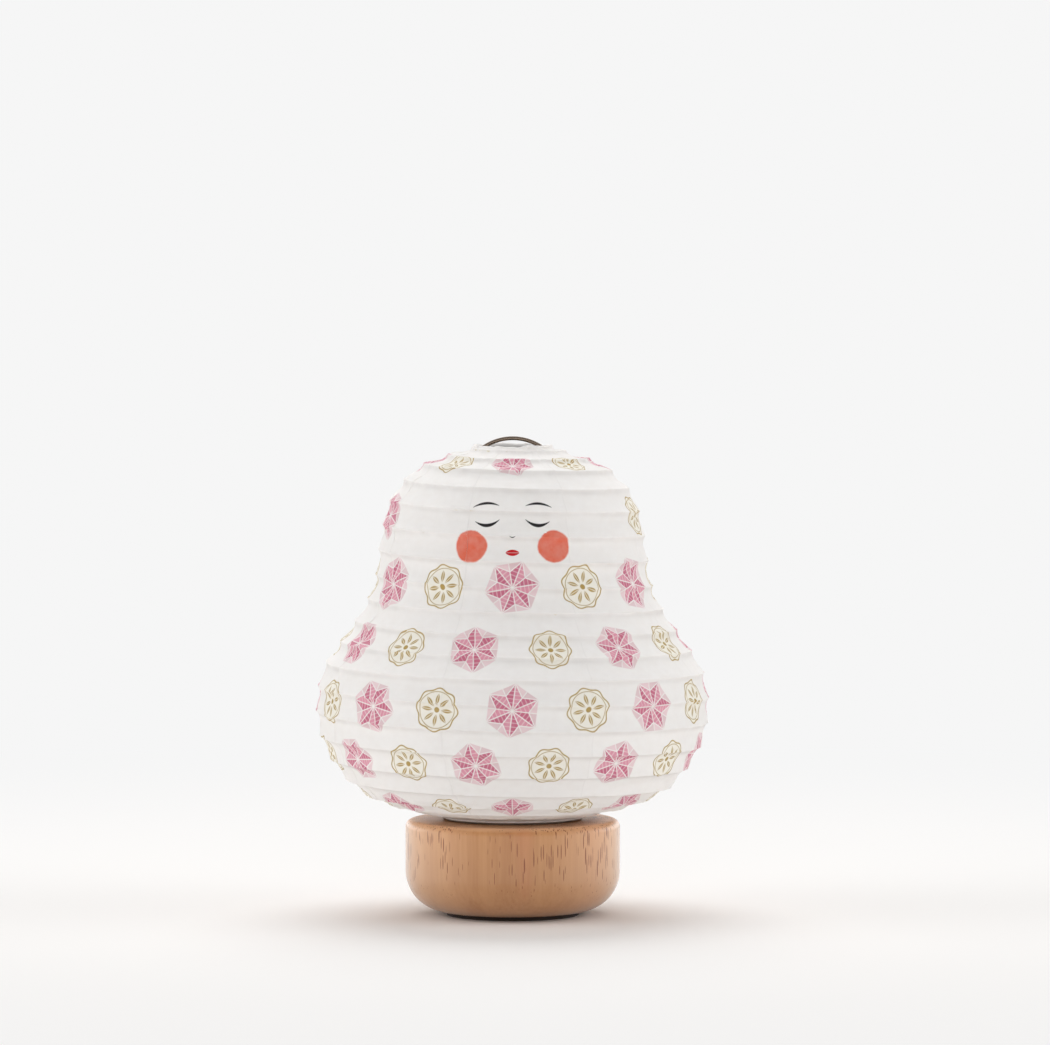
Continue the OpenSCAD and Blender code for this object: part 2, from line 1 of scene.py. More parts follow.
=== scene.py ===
# A paper lantern lamp on a turned wooden base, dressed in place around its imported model.
# Metres, +Z up, and the front looks to -Y. Azimuths start at the front and grow towards +X.
import json
import math
import bpy
import numpy as np
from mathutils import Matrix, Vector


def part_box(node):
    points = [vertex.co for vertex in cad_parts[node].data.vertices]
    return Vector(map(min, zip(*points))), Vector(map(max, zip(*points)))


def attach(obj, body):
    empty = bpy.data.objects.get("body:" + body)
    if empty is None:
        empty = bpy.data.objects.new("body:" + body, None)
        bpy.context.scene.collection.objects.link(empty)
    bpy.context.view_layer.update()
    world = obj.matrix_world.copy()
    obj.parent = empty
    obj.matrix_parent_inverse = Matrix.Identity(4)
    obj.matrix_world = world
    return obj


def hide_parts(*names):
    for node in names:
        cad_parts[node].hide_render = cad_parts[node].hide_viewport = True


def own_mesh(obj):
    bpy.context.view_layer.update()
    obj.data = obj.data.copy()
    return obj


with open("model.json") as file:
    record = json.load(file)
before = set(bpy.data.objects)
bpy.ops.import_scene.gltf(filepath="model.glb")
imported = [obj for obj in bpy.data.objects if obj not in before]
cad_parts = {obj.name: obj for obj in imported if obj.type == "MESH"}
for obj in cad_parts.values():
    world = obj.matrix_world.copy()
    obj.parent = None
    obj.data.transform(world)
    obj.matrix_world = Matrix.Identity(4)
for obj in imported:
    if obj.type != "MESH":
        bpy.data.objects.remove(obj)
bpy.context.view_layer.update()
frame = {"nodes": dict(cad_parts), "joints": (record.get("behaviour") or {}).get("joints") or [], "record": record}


# Gives an input a fixed value, or links it to the output of another node
def feed(tree, slot, value):
    if isinstance(value, Field):
        value = value.socket
    if isinstance(value, bpy.types.NodeSocket):
        tree.links.new(value, slot)
    else:
        slot.default_value = value


def mathNode(tree, operation, *values):
    node = tree.nodes.new("ShaderNodeMath")
    node.operation = operation
    for slot, value in zip(node.inputs, values):
        feed(tree, slot, value)
    return node.outputs[0]


# Low where the value is at its start, high at its end, and an eased climb between the two
def easedNode(tree, value, start, end, low=0, high=1):
    node = tree.nodes.new("ShaderNodeMapRange")
    node.interpolation_type = "SMOOTHSTEP"
    for label, number in (("From Min", start), ("From Max", end), ("To Min", low), ("To Max", high)):
        node.inputs[label].default_value = number
    tree.links.new(value, node.inputs["Value"])
    return node.outputs[0]


# A number that changes over a surface, with the arithmetic written as a formula
class Field:
    def __init__(self, tree, socket):
        self.tree = tree
        self.socket = socket

    def by(self, operation, *others):
        return Field(self.tree, mathNode(self.tree, operation, self, *others))

    def __add__(self, other):
        return self.by("ADD", other)

    def __sub__(self, other):
        return self.by("SUBTRACT", other)

    def __rsub__(self, other):
        return Field(self.tree, mathNode(self.tree, "SUBTRACT", other, self))

    def __mul__(self, other):
        return self.by("MULTIPLY", other)

    def __truediv__(self, other):
        return self.by("DIVIDE", other)

    __radd__ = __add__

    def low(self, other):
        return self.by("MINIMUM", other)

    def high(self, other):
        return self.by("MAXIMUM", other)

    def size(self):
        return self.by("ABSOLUTE")

    # 1 where the number is above zero and 0 below, over a soft edge
    def within(self, softness):
        return (self / softness + 0.5).low(1).high(0)


# A material with a Principled shader, and the nodes that its pattern needs
class Finish:
    def __init__(self, name, colour, roughness, metallic=0.0):
        self.material = bpy.data.materials.new(name)
        self.material.use_nodes = True
        self.tree = self.material.node_tree
        self.shader = self.tree.nodes["Principled BSDF"]
        self.set("Base Color", (*colour, 1))
        self.set("Roughness", roughness)
        self.set("Metallic", metallic)
        self.coordinates = self.tree.nodes.new("ShaderNodeTexCoord").outputs["Object"]
        self.material.diffuse_color = (*colour, 1)

    def set(self, label, value):
        feed(self.tree, self.shader.inputs[label], value)

    # Coordinates stretched, then turned. A pattern is drawn out along an axis with a stretch under 1.
    def place(self, stretch, turn=(0, 0, 0)):
        node = self.tree.nodes.new("ShaderNodeMapping")
        node.inputs["Rotation"].default_value = turn
        node.inputs["Scale"].default_value = stretch
        self.tree.links.new(self.coordinates, node.inputs["Vector"])
        return node.outputs[0]

    def part(self, vector, axis):
        node = self.tree.nodes.new("ShaderNodeSeparateXYZ")
        self.tree.links.new(vector, node.inputs[0])
        return Field(self.tree, node.outputs[axis])

    def noise(self, scale, vector=None, detail=2.0, roughness=0.5, distortion=0.0):
        node = self.tree.nodes.new("ShaderNodeTexNoise")
        node.inputs["Scale"].default_value = scale
        node.inputs["Detail"].default_value = detail
        node.inputs["Roughness"].default_value = roughness
        node.inputs["Distortion"].default_value = distortion
        self.tree.links.new(vector or self.coordinates, node.inputs["Vector"])
        return Field(self.tree, node.outputs["Fac"])

    # Distance to the nearest point of a scatter, and a random number that each point has
    def cells(self, scale, vector):
        node = self.tree.nodes.new("ShaderNodeTexVoronoi")
        node.inputs["Scale"].default_value = scale
        self.tree.links.new(vector, node.inputs["Vector"])
        return Field(self.tree, node.outputs["Distance"]), self.part(node.outputs["Color"], 0)

    def mix(self, share, below, above):
        node = self.tree.nodes.new("ShaderNodeMix")
        node.data_type = "RGBA"
        for number, value in ((0, share), (6, below), (7, above)):
            feed(self.tree, node.inputs[number], (*value, 1) if isinstance(value, tuple) else value)
        return node.outputs[2]

    def bump(self, height, distance):
        node = self.tree.nodes.new("ShaderNodeBump")
        node.inputs["Distance"].default_value = distance
        node.inputs["Strength"].default_value = 1
        feed(self.tree, node.inputs["Height"], height)
        self.set("Normal", node.outputs[0])


# Distance from the middle of a pattern
def reachOf(x, y):
    return (x * x + y * y).by("SQRT")


# The same place turned back by whole slices into the one round +X: a pattern drawn there is repeated
# in every slice
def firstSlice(x, y, slices):
    wedge = 2 * math.pi / slices
    angle = y.by("ARCTAN2", x)
    folded = angle - (angle / wedge).by("ROUND") * wedge
    r = reachOf(x, y)
    return r * folded.by("COSINE"), r * folded.by("SINE")


# A colour given as the eye sees it, 0 to 255, as the linear numbers that a shader takes
def shown(*levels):
    def linear(share):
        return ((share + 0.055) / 1.055) ** 2.4 if share > 0.04045 else share / 12.92

    return tuple(linear(level / 255) for level in levels)


# The photograph's view: how far the camera stands away, aside and up, and the height that it looks at
cameraValues = {
    "away": 3.5,
    "aside": 0.0063,
    "height": 0.387,
    "lookHeight": 0.201,
    "focalLength": 235.1,  # in millimetres, as is the sensor's width
    "sensorWidth": 36,
    "farthest": 50,
}


def makeCamera():
    values = cameraValues
    data = bpy.data.cameras.new("studioCamera")
    data.lens = values["focalLength"]
    data.sensor_width = values["sensorWidth"]
    data.clip_end = values["farthest"]
    camera = bpy.data.objects.new("studioCamera", data)
    camera.location = (values["aside"], -values["away"], values["height"])
    drop = math.atan2(values["height"] - values["lookHeight"], values["away"])
    camera.rotation_euler = (math.pi / 2 - drop, 0, 0)
    bpy.context.scene.collection.objects.link(camera)
    bpy.context.scene.camera = camera


# Floor, backdrop and lamps of the studio. The room gives a little more light from the front, but gloss
# mirrors one that is dim round the camera and bright behind the object.
studioValues = {
    "floorColour": (0.9, 0.885, 0.87),
    "backdrop": 0.921,
    "floorRadius": 9,
    "floorSides": 96,
    "plainFrom": 0.1,  # where the floor starts to fade into the backdrop
    "plainTo": 1,
    "roomFront": 0.5,  # what lights the lamp from the front, and from the back
    "roomBack": 0.3,
    "glossFront": 0.45,  # what its gloss mirrors there, and the share of it that is left high up
    "glossBack": 1.5,
    "glossAbove": 0.3,
    "frontToBack": (-0.5, 0.6),  # the directions between which the room changes, along Y and along Z
    "lowToHigh": (0.15, 0.7),
    "lampAim": 0.12,  # height on the axis that the lamps point at
    "lamps": {  # place, diameter, power
        "rearLamp": ((0, 0.9, 2), 2, 28),
        "frontLamp": ((0, -2.6, 0.45), 1.4, 13.5),
        "leftLamp": ((-2, -0.35, 0.8), 1.6, 14.5),
        "rightLamp": ((2, -0.35, 0.8), 1.6, 13),
    },
}


# Camera and glass rays see the plain backdrop, and gloss mirrors another room than the one that lights
def makeRoom():
    values = studioValues
    world = bpy.data.worlds.new("studioRoom")
    world.use_nodes = True
    bpy.context.scene.world = world
    tree = world.node_tree
    tree.nodes.clear()
    way = tree.nodes.new("ShaderNodeTexCoord")
    parts = tree.nodes.new("ShaderNodeSeparateXYZ")
    tree.links.new(way.outputs["Generated"], parts.inputs[0])
    frontToBack = parts.outputs["Y"], *values["frontToBack"]
    light = easedNode(tree, *frontToBack, values["roomFront"], values["roomBack"])
    gloss = easedNode(tree, *frontToBack, values["glossFront"], values["glossBack"])
    above = easedNode(tree, parts.outputs["Z"], *values["lowToHigh"], 1, values["glossAbove"])
    gloss = mathNode(tree, "MULTIPLY", gloss, above)
    paths = tree.nodes.new("ShaderNodeLightPath")
    level = tree.nodes.new("ShaderNodeMix")
    tree.links.new(paths.outputs["Is Glossy Ray"], level.inputs[0])
    tree.links.new(light, level.inputs[2])
    tree.links.new(gloss, level.inputs[3])
    rays = mathNode(tree, "ADD", paths.outputs["Is Camera Ray"], paths.outputs["Is Transmission Ray"])
    seen = tree.nodes.new("ShaderNodeMix")
    tree.links.new(mathNode(tree, "MINIMUM", rays, 1), seen.inputs[0])
    tree.links.new(level.outputs[0], seen.inputs[2])
    seen.inputs[3].default_value = values["backdrop"]
    room = tree.nodes.new("ShaderNodeBackground")
    room.inputs["Color"].default_value = (1, 1, 1, 1)
    tree.links.new(seen.outputs[0], room.inputs["Strength"])
    out = tree.nodes.new("ShaderNodeOutputWorld")
    tree.links.new(room.outputs[0], out.inputs[0])


# A pale round card that fades into the backdrop for the camera
def makeFloor():
    values = studioValues
    turns = np.linspace(0, 2 * math.pi, values["floorSides"], endpoint=False)
    rim = np.stack([np.sin(turns), np.cos(turns), 0 * turns], 1) * values["floorRadius"]
    mesh = bpy.data.meshes.new("studioFloor")
    mesh.from_pydata(rim.tolist(), [], [list(range(len(rim)))[::-1]])
    floor = bpy.data.objects.new("studioFloor", mesh)
    bpy.context.scene.collection.objects.link(floor)
    material = bpy.data.materials.new("studioFloor")
    material.use_nodes = True
    tree = material.node_tree
    tree.nodes.clear()
    place = tree.nodes.new("ShaderNodeTexCoord")
    reach = tree.nodes.new("ShaderNodeVectorMath")
    reach.operation = "LENGTH"
    tree.links.new(place.outputs["Object"], reach.inputs[0])
    fade = easedNode(tree, reach.outputs["Value"], values["plainFrom"], values["plainTo"])
    card = tree.nodes.new("ShaderNodeBsdfDiffuse")
    card.inputs["Color"].default_value = (*values["floorColour"], 1)
    plain = tree.nodes.new("ShaderNodeEmission")
    plain.inputs["Color"].default_value = (1, 1, 1, 1)
    plain.inputs["Strength"].default_value = values["backdrop"]
    paths = tree.nodes.new("ShaderNodeLightPath")
    mix = tree.nodes.new("ShaderNodeMixShader")
    tree.links.new(mathNode(tree, "MULTIPLY", fade, paths.outputs["Is Camera Ray"]), mix.inputs[0])
    tree.links.new(card.outputs[0], mix.inputs[1])
    tree.links.new(plain.outputs[0], mix.inputs[2])
    out = tree.nodes.new("ShaderNodeOutputMaterial")
    tree.links.new(mix.outputs[0], out.inputs[0])
    mesh.materials.append(material)


# Round lamps that all point at one height on the axis
def makeLamps():
    for name, (place, size, power) in studioValues["lamps"].items():
        data = bpy.data.lights.new(name, "AREA")
        data.shape = "DISK"
        data.size = size
        data.energy = power
        lamp = bpy.data.objects.new(name, data)
        lamp.location = place
        lamp.visible_glossy = False
        aim = np.array([0, 0, studioValues["lampAim"]]) - np.array(place)
        tilt = math.atan2(math.hypot(aim[0], aim[1]), -aim[2])
        lamp.rotation_euler = (tilt, 0, math.atan2(-aim[0], aim[1]))
        bpy.context.scene.collection.objects.link(lamp)


bpy.context.scene.view_settings.view_transform = "Standard"
makeCamera()
makeRoom()
makeFloor()
makeLamps()
print("camera and studio made")


# The shade. Its curve runs through these stations: share of the largest radius, share of the height.
shadeValues = {
    "turns": 20,  # of the spiral rib
    "lead": 0.1,  # turns of room before its start and after its end
    "firstSeam": math.radians(-67.5),
    "gores": 8,
    "largest": 0.1005,
    "mouthRadius": 0.0205,
    "mouthHeight": 0.24,
    "hemRadius": 0.0366,
    "hemTop": 0.052,  # the stations' heights count from here, and the curve ends a little lower
    "hemEnd": 0.0510,
    "hemFoot": 0.0504,
    "sag": 0.0016,  # how deep the paper hangs between two ridges
    "cadFoot": 0.0496,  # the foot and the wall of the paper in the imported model, and its gap to the rib
    "cadWall": 0.0004,
    "ribGap": 0.0002,
    "stations": [[0.31, 0.983], [0.468, 0.951], [0.572, 0.902], [0.631, 0.853], [0.666, 0.788],
                 [0.687, 0.706], [0.704, 0.641], [0.751, 0.575], [0.828, 0.509], [0.91, 0.448],
                 [0.97, 0.395], [1, 0.322], [0.998, 0.25], [0.962, 0.185], [0.89, 0.12], [0.77, 0.058],
                 [0.58, 0.0185]],
}
paperValues = {
    "wall": 0.00018,
    "columns": 60,  # across a gore
    "rows": 18,  # in a strip between two turns of the rib
    "lean": 0.7,  # 0 where the sag is deepest in the middle of a strip, 1 where it is a third down
    "draw": 0.0003,  # how far the paper drops off the wire on both sides of a ridge
    "drawWidth": 0.0006,
    "tautEven": 0.75,  # the share of it that is the same all round, and the share that comes and goes
    "tautUneven": 0.35,
    "paintedCreaseShade": 0.18,  # painted crease shade, a darker line this far below each ridge
    "paintedCreaseShadeAt": 0.0011,
    "paintedCreaseShadeWidth": 0.0013,
    "lapShade": 0.4,  # and painted shade along a lap's free edge, as this share of that line
    "lap": 0.003,  # how far a gore reaches over the next one
    "lapColumns": 3,
    "lapRise": 0.00016,
    "nearRidge": 0.07,  # the share of a strip that counts as near a ridge
    "crumple": 0.0003,  # height of the crumples, and the share of it that a ridge holds flat
    "crumpleHeld": 0.6,
    "dimple": 0.001,  # depth of the dimples that the wire pulls, and how rare they are
    "dimpleRare": 0.35,
    "overWire": 0.0002,  # the most that crumples and dimples press in on top of the wire
    "tuck": 0.0004,  # the paper dips just outside the lip, this far from the mouth
    "tuckAt": 0.002,
    "tuckWidth": 0.0014,
    "lip": [[0.0186, 0.2383], [0.01855, 0.2394], [0.01875, 0.2402], [0.0193, 0.2407], [0.01995, 0.2407],
            [0.0204, 0.2403]],
    "lipLift": [-0.7, -0.7, -0.35, 0.35, 0.7, 0.7],  # how far a lap moves the lip's points, in its rise
    "lipWave": 0.0005,
    "lipAlong": -0.002,  # where the print takes the lip and the foot to be, from the paper's two ends
    "footAlong": 0.0006,
    "nick": 0.0007,  # the foot stands higher at a gore's two corners
}


# Cubic through four stations: the middle two at t 0 and 1, with slopes from the outer two
def blendAt(a, b, c, d, t):
    square = 2 * a - 5 * b + 4 * c - d
    cube = 3 * b - a - 3 * c + d
    return (2 * b + (c - a) * t + square * t ** 2 + cube * t ** 3) / 2


# The curve's points as radius and height, from the mouth down, and the length of the curve up to each
def shadeCurve(steps=8):
    values = shadeValues
    share = np.array(values["stations"])
    rise = values["mouthHeight"] - values["hemTop"]
    body = np.stack([share[:, 0] * values["largest"], values["hemTop"] + share[:, 1] * rise], 1)
    mouth = [[values["mouthRadius"], values["mouthHeight"]]]
    hem = [[values["hemRadius"], values["hemEnd"]]]
    stations = np.concatenate([mouth, body, hem])
    padded = np.concatenate([stations[:1], stations, stations[-1:]])
    t = np.arange(steps)[None, :, None] / steps
    spans = blendAt(padded[:-3, None], padded[1:-2, None], padded[2:-1, None], padded[3:, None], t)
    points = np.concatenate([spans.reshape(-1, 2), stations[-1:]])
    length = np.concatenate([[0], np.cumsum(np.linalg.norm(np.diff(points, axis=0), axis=1))])
    return points, length


curvePoints, curveLength = shadeCurve()
paperLength = curveLength[-1]


# Radius and height of the paper at share u of its length from the mouth to the hem
def paperAt(u):
    along = np.clip(u, 0, 1) * paperLength
    return np.stack([np.interp(along, curveLength, curvePoints[:, i]) for i in (0, 1)], -1)


# The direction square to the curve, away from the axis
def outwardAt(u, near=0.004):
    way = paperAt(u + near) - paperAt(u - near)
    out = np.stack([-way[..., 1], way[..., 0]], -1)
    return out / np.linalg.norm(out, axis=-1, keepdims=True)


# Radius and height turned round the lamp's axis: x = r sin a, y = -r cos a
def around(points, azimuth):
    r, height = points[..., 0], points[..., 1]
    return np.stack([r * np.sin(azimuth), -r * np.cos(azimuth), height], -1)


# Share of the paper's length at a ridge, some part of a turn past the first seam. Ridge 0 is the mouth,
# and the ridge after the last is the hem.
def ridgeAt(ridge, turn):
    values = shadeValues
    share = (ridge - 1 + turn + values["lead"]) / (values["turns"] + 2 * values["lead"])
    return np.where(ridge < 1, 0, np.where(ridge > values["turns"], 1, share))


# Smooth random hills over a (in turns of 1, joined end to end) and b: each octave is a random lattice
# read between its points with an eased weight, half as high and twice as fine as the last
def unevenness(a, b, seed, octaves=3, coarsest=24):
    total = 0
    draw = np.random.default_rng(seed)
    for octave in range(octaves):
        wide = coarsest * 2 ** octave
        lattice = draw.uniform(-1, 1, (wide, wide * 2))
        x = (a % 1) * wide
        y = (b % 2) * wide
        i, j = np.floor(x).astype(int), np.floor(y).astype(int)
        s, t = x - i, y - j
        s, t = s * s * (3 - 2 * s), t * t * (3 - 2 * t)
        i, j = i % wide, j % (wide * 2)
        right, down = (i + 1) % wide, (j + 1) % (wide * 2)
        top = lattice[i, j] * (1 - s) + lattice[right, j] * s
        foot = lattice[i, down] * (1 - s) + lattice[right, down] * s
        total = total + (top * (1 - t) + foot * t) / 2 ** octave
    return total


# A piece with smooth faces, and flat caps where it has ends
def addMesh(name, points, faces, caps=()):
    mesh = bpy.data.meshes.new(name)
    mesh.from_pydata(points.reshape(-1, 3).tolist(), [], faces.tolist() + list(caps))
    mesh.update()
    mesh.polygons.foreach_set("use_smooth", [True] * len(faces) + [False] * len(caps))
    piece = bpy.data.objects.new(name, mesh)
    bpy.context.scene.collection.objects.link(piece)
    return piece


# Quads over a grid of points, whose columns may join end to end
def gridFaces(rows, columns, start=0, closed=False):
    i = np.arange(rows - 1)[:, None]
    j = np.arange(columns if closed else columns - 1)[None, :]
    k = (j + 1) % columns
    row, below = i * columns, (i + 1) * columns
    return np.stack([row + j, below + j, below + k, row + k], -1).reshape(-1, 4) + start


# The piece takes the given material, rides on a body and hides the node of the imported model that it stands for
def seat(piece, body, material, node):
    piece.data.materials.append(material)
    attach(piece, body)
    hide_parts(node)


# Printed motifs stand in rings round the shade, and painted ones at the front. A motif's place is its
# azimuth and its height on the lamp, and its size is its radius.
motifKinds = {"star": 1, "snowRing": 2, "cheek": 3, "stroke": 4, "brow": 5, "mouth": 6}
printValues = {
    "starRadius": 0.0142,
    "snowRingRadius": 0.0117,
    "rings": [  # height, how many, first azimuth, what the motifs are in turn, size
        (0.2335, 8, 0, ["star", "snowRing"], 0.8),
        (0.2060, 12, 15, ["snowRing", "star"], 0.95),
        (0.1720, 12, 0, ["star", "snowRing"], 1.0),
        (0.1425, 14, 12.9, ["snowRing", "star"], 0.95),
        (0.1125, 16, 0, ["star", "snowRing"], 1.0),
        (0.0835, 16, 11.25, ["snowRing", "star"], 0.95),
        (0.0600, 14, 0, ["star", "snowRing"], 0.85),
    ],
    "turns": 11,  # degrees that each next motif is turned by
    "reach": 1.5,  # in motif radii: how far from its centre a motif still owns the paper
    "plain": (46, 0.178, 0.226),  # no print within this azimuth of the front, between these heights
}
faceValues = {
    "eyes": (0.0130, 0.2045, 0.0062),  # aside, height, radius
    "brows": (0.0135, 0.2135, 0.0066),
    "cheeks": (0.0215, 0.1925, 0.0082),
    "nose": (0.0, 0.1975, 0.0016),
    "mouth": (0.0, 0.1895, 0.0034),
    "tilt": 0.10,  # how far brows and eyes fall towards the outside
    "eyeStroke": (-0.42, 0.13),  # depth of the brushed arc and half its thickness, in radii
    "browStroke": (0.3, 0.1),
}


# Length along the paper, from the mouth, at which it has this height
def alongAt(height):
    return np.interp(-height, -curvePoints[:, 1], curveLength)


# Rows of azimuth, length along the paper, radius, turn, mirror and kind
def motifList():
    rows = []
    values = printValues
    away, low, high = values["plain"]
    count = 0
    for height, number, first, kinds, size in values["rings"]:
        for i in range(number):
            azimuth = (first + 360 * i / number + 180) % 360 - 180
            kind = kinds[i % len(kinds)]
            count += 1
            if abs(azimuth) < away and low < height < high:
                continue
            turn = math.radians(values["turns"] * count)
            rows.append([math.radians(azimuth), alongAt(height), values[kind + "Radius"] * size, turn, 1,
                         motifKinds[kind]])
    face = faceValues
    for part, kind in (("eyes", "stroke"), ("brows", "brow"), ("cheeks", "cheek")):
        aside, height, radius = face[part]
        reach = np.interp(alongAt(height), curveLength, curvePoints[:, 0])
        for side in (-1, 1):
            tilt = 0 if part == "cheeks" else face["tilt"]
            rows.append([side * aside / reach, alongAt(height), radius, tilt, side, motifKinds[kind]])
    for part, kind in (("nose", "stroke"), ("mouth", "mouth")):
        aside, height, radius = face[part]
        rows.append([aside, alongAt(height), radius, 0, 1, motifKinds[kind]])
    return np.array(rows)


motifs = motifList()


# Each face of the paper takes the motif whose centre is nearest in motif radii, or none. Its corners
# then get their place in that motif: azimuth times reach across, and length along the paper down.
def motifPlaces(azimuth, along, reach, faces):
    corner = [value.ravel()[faces] for value in (azimuth, along, reach)]
    middle = [value.mean(1) for value in corner]
    nearest = np.full(len(faces), np.inf)
    chosen = np.zeros(len(faces), int)
    for number, (at, height, radius) in enumerate(motifs[:, :3]):
        swing = (middle[0] - at + math.pi) % (2 * math.pi) - math.pi
        far = np.hypot(swing * middle[2], middle[1] - height) / radius
        closer = far < nearest
        nearest[closer] = far[closer]
        chosen[closer] = number
    row = motifs[chosen]
    swing = (corner[0] - row[:, :1] + math.pi) % (2 * math.pi) - math.pi
    x = swing * corner[2] / row[:, 2:3] * row[:, 4:5]
    y = (row[:, 1:2] - corner[1]) / row[:, 2:3]
    cosine, sine = np.cos(row[:, 3:4]), np.sin(row[:, 3:4])
    place = np.stack([x * cosine - y * sine, x * sine + y * cosine], -1)
    kind = np.where(nearest < printValues["reach"], row[:, 5], 0)
    return place, kind


# Rows of points on one gore, from the mouth over every ridge to the hem, closer beside the ridges: turns
# past the first seam, the strip between two ridges, and the share of the way down it. The last columns
# are the lap, which reaches over the next gore.
def goreGrid(index):
    values, paper = shadeValues, paperValues
    strips = values["turns"] + 1
    step = (1 - np.cos(math.pi * np.arange(paper["rows"]) / paper["rows"])) / 2
    strip = np.append(np.repeat(np.arange(strips), paper["rows"]), strips - 1)[:, None]
    down = np.append(np.tile(step, strips), 1)[:, None]
    turn = (index + np.linspace(0, 1, paper["columns"] + 1))[None, :] / values["gores"] + 0 * strip
    last = turn[:, -1:]
    start, end = ridgeAt(strip, last), ridgeAt(strip + 1, last)
    reach = paperAt(start + (end - start) * down)[..., 0]
    lap = np.linspace(0, 1, paper["lapColumns"] + 1)[None, 1:] * paper["lap"] / (2 * math.pi * reach)
    return np.concatenate([turn, last + lap], 1), strip, down


# For each point its share u of the paper's length, how far it lies inside the curve, and how much
# painted shade of the crease it takes. With x the share of the way down a strip, the paper sags by
# 1 - |2 x - 1|^3, blended with 6.75 x (1 - x)^2, and beside the wire it drops by
# 1 - e^-(distance / width)^2. Crumples and dimples are random hills. The painted shade below each
# ridge is e^-(distance / width)^2 round its place.
def paperPoints(turn, strip, x):
    values, paper = shadeValues, paperValues
    first, last = ridgeAt(strip, turn), ridgeAt(strip + 1, turn)
    u = first + (last - first) * x
    whole = values["turns"] + 2 * values["lead"]
    room = np.minimum((last - first) * whole, 1)  # less than 1 in the short strips at both ends
    even = 1 - np.abs(2 * x - 1) ** 3
    early = 6.75 * x * (1 - x) ** 2
    sag = values["sag"] * (even + (early - even) * paper["lean"]) * room
    beside = np.minimum(x, 1 - x) * (last - first) * paperLength
    row = 0.1 + np.where(x < 0.5, strip, strip + 1) * 0.083  # each ridge has its own row of hills
    taut = paper["tautEven"] + paper["tautUneven"] * unevenness(turn * 2, row, seed=19, octaves=2)
    draw = paper["draw"] * (1 - np.exp(-(beside / paper["drawWidth"]) ** 2)) * taut * room
    near = np.exp(-((x * (1 - x)) / paper["nearRidge"]) ** 2)  # 1 at the ridges, 0 between them
    free = 1 - paper["crumpleHeld"] * near
    crease = unevenness(turn, u * 2, seed=7) * paper["crumple"] * free * room
    hollow = np.maximum(unevenness(turn * 3, u * 2, seed=11, octaves=2) - paper["dimpleRare"], 0)
    dimple = hollow * paper["dimple"] * near * room
    loose = np.minimum(dimple - crease, paper["overWire"] + (1 - near) * paper["dimple"] * 2)
    tuck = paper["tuck"] * np.exp(-((u * paperLength - paper["tuckAt"]) / paper["tuckWidth"]) ** 2)
    # Painted shade just below each ridge, where the crease would be shaded
    below = x * (last - first) * paperLength - paper["paintedCreaseShadeAt"]
    shade = np.exp(-(below / paper["paintedCreaseShadeWidth"]) ** 2) * taut * room
    return u, sag + draw + tuck + loose, shade


# The face of one gore, with its lip over the top ring and its foot over the bottom ring: azimuth, place
# along the paper, radius and height, and how much painted shade of the crease it takes
def goreFace(index):
    values, paper = shadeValues, paperValues
    turn, strip, down = goreGrid(index)
    u, inwards, shade = paperPoints(turn, strip, down)
    # Painted shade along the free edge of the lap
    shade[:, -1] = np.maximum(shade[:, -1], paper["lapShade"])
    rise = np.zeros(turn.shape[1])
    rise[paper["columns"]] = paper["lapRise"] / 2
    rise[paper["columns"] + 1:] = paper["lapRise"]
    body = paperAt(u) + outwardAt(u) * (rise - inwards)[..., None]
    lip = np.array(paper["lip"])[:, None, :] + 0 * body[:1]
    level = np.arange(len(lip))[:, None] * 0.01
    lip = lip + unevenness(turn[:1] + 0 * level, 0.3 + level, seed=5)[..., None] * paper["lipWave"]
    lip = lip + rise[None, :, None] * np.array(paper["lipLift"])[:, None, None]
    foot = np.stack([values["hemRadius"] + rise, 0 * rise + values["hemFoot"]], -1)[None]
    foot[..., 1] += np.abs(np.linspace(-1, 1, turn.shape[1])) ** 40 * paper["nick"]
    azimuth = values["firstSeam"] + 2 * math.pi * turn
    along = u * paperLength
    lipAlong = 0 * along[:1] + paper["lipAlong"]
    azimuth = np.concatenate([azimuth[:1]] * len(lip) + [azimuth, azimuth[-1:]])
    along = np.concatenate([lipAlong] * len(lip) + [along, along[-1:] + paper["footAlong"]])
    shade = np.concatenate([0 * u[:1]] * len(lip) + [shade, 0 * u[:1]])
    return azimuth, along, np.concatenate([lip, body, foot]), shade


# One gore as a thin shell: its face, the same face a wall's width further in, and walls round the rim
def makeGore(index, material):
    azimuth, along, face, shade = goreFace(index)
    outer = around(face, azimuth)
    away = np.cross(np.gradient(outer, axis=0), np.gradient(outer, axis=1))
    inner = outer - away / np.linalg.norm(away, axis=-1, keepdims=True) * paperValues["wall"]
    rows, columns = outer.shape[:2]
    count = rows * columns
    skin = gridFaces(rows, columns)
    lining = gridFaces(rows, columns, count)[:, ::-1]
    rim = np.concatenate([np.arange(columns), np.arange(1, rows) * columns + columns - 1,
                          (rows - 1) * columns + np.arange(columns - 2, -1, -1),
                          np.arange(rows - 2, 0, -1) * columns])
    after = np.roll(rim, -1)
    wall = np.stack([rim, after, after + count, rim + count], -1)
    faces = np.concatenate([skin, lining, wall])
    piece = addMesh(f"paperGore{index + 1}", np.concatenate([outer, inner]), faces)
    place, kind = motifPlaces(azimuth, along, face[..., 0], skin)
    spare = np.zeros((len(faces) - len(skin), 4))
    place = np.concatenate([place, np.stack([spare, spare], -1)])
    kind = np.concatenate([kind[:, None] + np.zeros((1, 4)), spare])
    shade = np.concatenate([shade.ravel()[skin], spare])
    addLayer(piece, "motifPlace", place)
    addLayer(piece, "motifKind", np.stack([kind, shade], -1))
    sharpen(piece, rim, count)
    seat(piece, "shade", material, f"paper_panel_{index + 1}")
    flatten(piece)


# Two numbers for each corner of each face: its place in the motif, or the motif's kind and how much
# painted shade of the crease it takes
def addLayer(piece, name, corners):
    layer = piece.data.uv_layers.new(name=name)
    layer.data.foreach_set("uv", corners.astype(np.float32).ravel())


